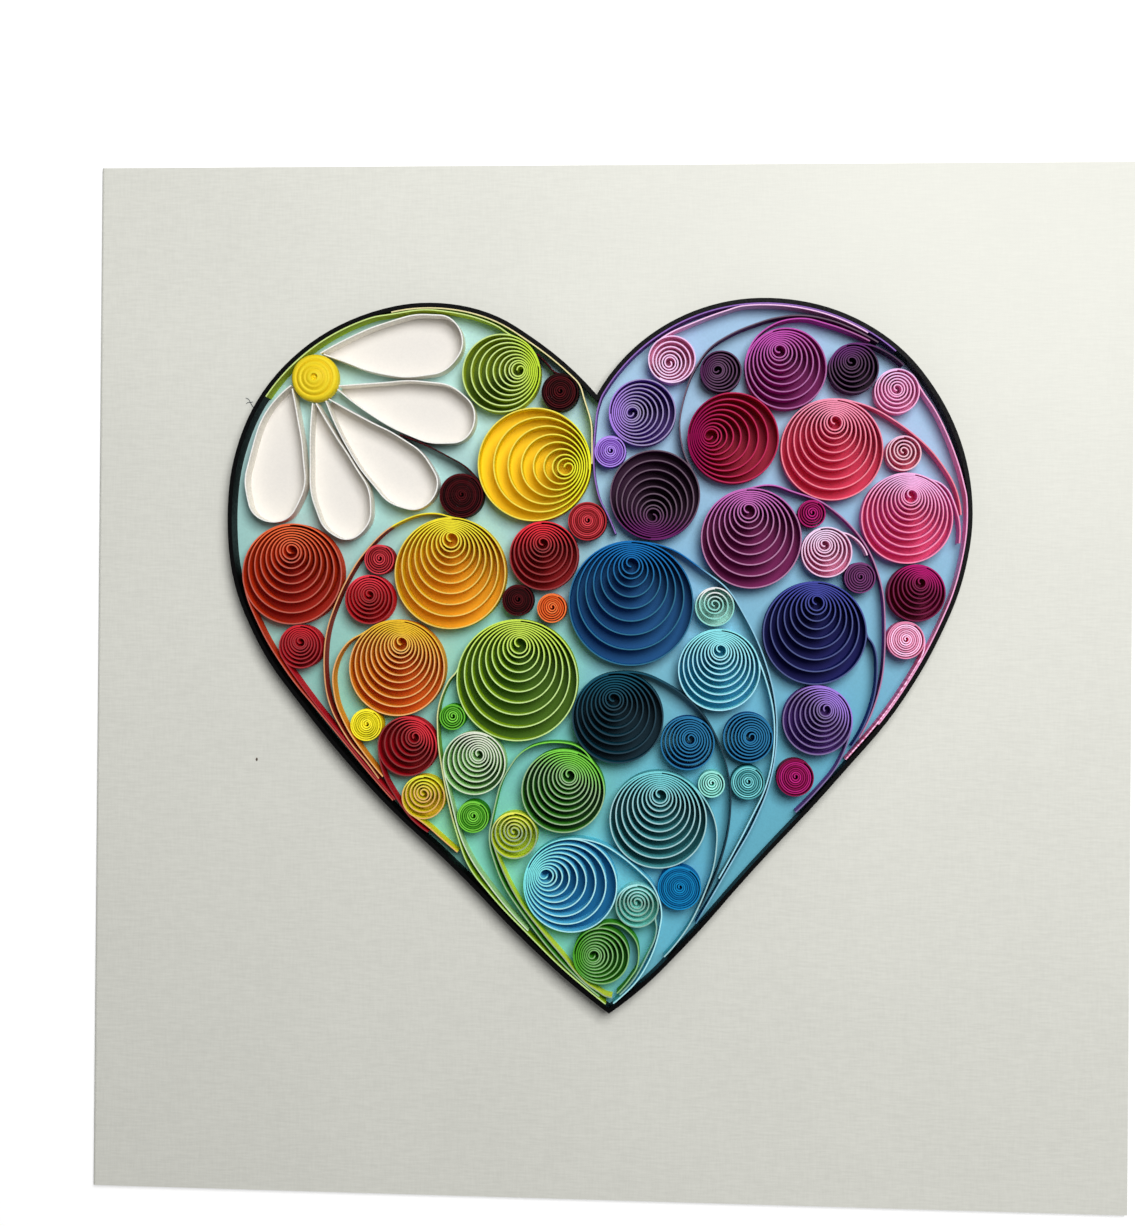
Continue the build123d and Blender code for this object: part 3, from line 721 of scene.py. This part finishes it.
def over_card(place, lift):
    """Return the point that is lift mm over the card's face at a place, in metres."""
    return (place[0] * mm, place[1] * mm, (card_face + lift) * mm)


def paper_crumb():
    """Drop a dark crumb of paper on the card, left of the heart."""
    bpy.ops.mesh.primitive_ico_sphere_add(
        subdivisions=3, radius=crumb_size / 2 * mm, location=over_card(crumb_place, crumb_lift),
    )
    crumb = bpy.context.object
    edit_all()
    bpy.ops.transform.resize(value=crumb_shape)
    bpy.ops.transform.vertex_random(offset=crumb_shake * mm, seed=crumb_seed)
    bpy.ops.object.mode_set(mode="OBJECT")
    settle(crumb, "paper_crumb", plain_ink("dark crumb", crumb_colour))


def rim_fibre(number, turn, reach):
    """Leave a fine loose fibre on the card at the rim's outer side."""
    bpy.ops.curve.primitive_bezier_curve_add(
        radius=reach * mm, location=over_card(fibre_place, fibre_lift),
        rotation=(0, 0, radians(turn)),
    )
    fibre = bpy.context.object
    fibre.data.bevel_depth = fibre_thickness / 2 * mm
    fibre.data.bevel_resolution = 1
    fibre.data.use_fill_caps = True
    bpy.ops.object.convert(target="MESH")
    name = f"rim_fibre_{number}"
    settle(fibre, name, plain_ink(name.replace("_", " "), fibre_colour))


# Papers for the CAD pieces
for name, (face, edge, _) in papers.items():
    make = rim_paper if name == "heart_rim" else strip_paper
    paper = make(name, face, edge)
    for holder in nodes[name].material_slots:
        holder.material = paper
board = linen_board()
for holder in nodes["card"].material_slots:
    holder.material = board

# The daisy's turned centre, the fields of print, and what lies loose on the card
daisy_button()
white_ink = plain_ink("white petal print", petal_white)
heart_print()
for petal in petals:
    petal_print(petal, white_ink)
# Discs printed under the loose coils, darkened as painted shade of their wells
for name, (x, y, radius, _) in loose_coils.items():
    disc_print_and_well_shade(name, x, y, radius, papers[name][2])
paper_crumb()
for number, (turn, reach) in enumerate(rim_fibres, start=1):
    rim_fibre(number, turn, reach)

# The table top, which glows a little where it is seen or mirrored and lights nothing else
bpy.ops.mesh.primitive_plane_add(size=table_width * mm, location=(0, 0, 0))
floor = bpy.context.object
floor.name = "floor"
table = Sheet("pale table top")
table.shader.inputs["Base Color"].default_value = shade(table_colour)
table.shader.inputs["Roughness"].default_value = table_roughness
seen = table.add("ShaderNodeLightPath").outputs
straight = table.calc("MAXIMUM", seen["Is Camera Ray"], seen["Is Glossy Ray"])
straight = table.calc("MAXIMUM", straight, seen["Is Transmission Ray"])
table.shader.inputs["Emission Color"].default_value = (1, 1, 1, 1)
glow = table.calc("MULTIPLY", straight, table_glow)
table.link(glow, table.shader.inputs["Emission Strength"])
floor.data.materials.append(table.material)

# A wide soft light hung over the card's upper right corner, and the room's light
bpy.ops.object.light_add(type="AREA", location=[value * mm for value in lamp_place])
lamp = bpy.context.object
lamp.name = "soft_lamp"
lamp.data.shape = "SQUARE"
lamp.data.size = lamp_size * mm
lamp.data.energy = lamp_power
lamp.rotation_euler = (-lamp.location).to_track_quat("-Z", "Y").to_euler()
world = bpy.context.scene.world or bpy.data.worlds.new("room")
bpy.context.scene.world = world
world.use_nodes = True
background = world.node_tree.nodes["Background"]
background.inputs["Color"].default_value = (1, 1, 1, 1)
background.inputs["Strength"].default_value = room_light

# The camera, at the photograph's place
bpy.ops.object.camera_add()
camera = bpy.context.object
camera.data.sensor_width = film_width
camera.data.lens = focal_length / max(image_size) * film_width
camera.data.shift_x = -centre_moved[0] / max(image_size)
camera.data.shift_y = centre_moved[1] / max(image_size)
turn = (Matrix.Rotation(-camera_yaw, 3, "Y") @ Matrix.Rotation(-camera_pitch, 3, "X")
        @ Matrix.Rotation(-camera_roll, 3, "Z"))
camera.rotation_euler = turn.to_euler()
camera.location = over_card(camera_place[:2], camera_place[2])
camera.data.clip_start = nearest_seen * mm
camera.data.clip_end = farthest_seen * mm
bpy.context.scene.camera = camera
bpy.context.scene.view_settings.view_transform = "Standard"
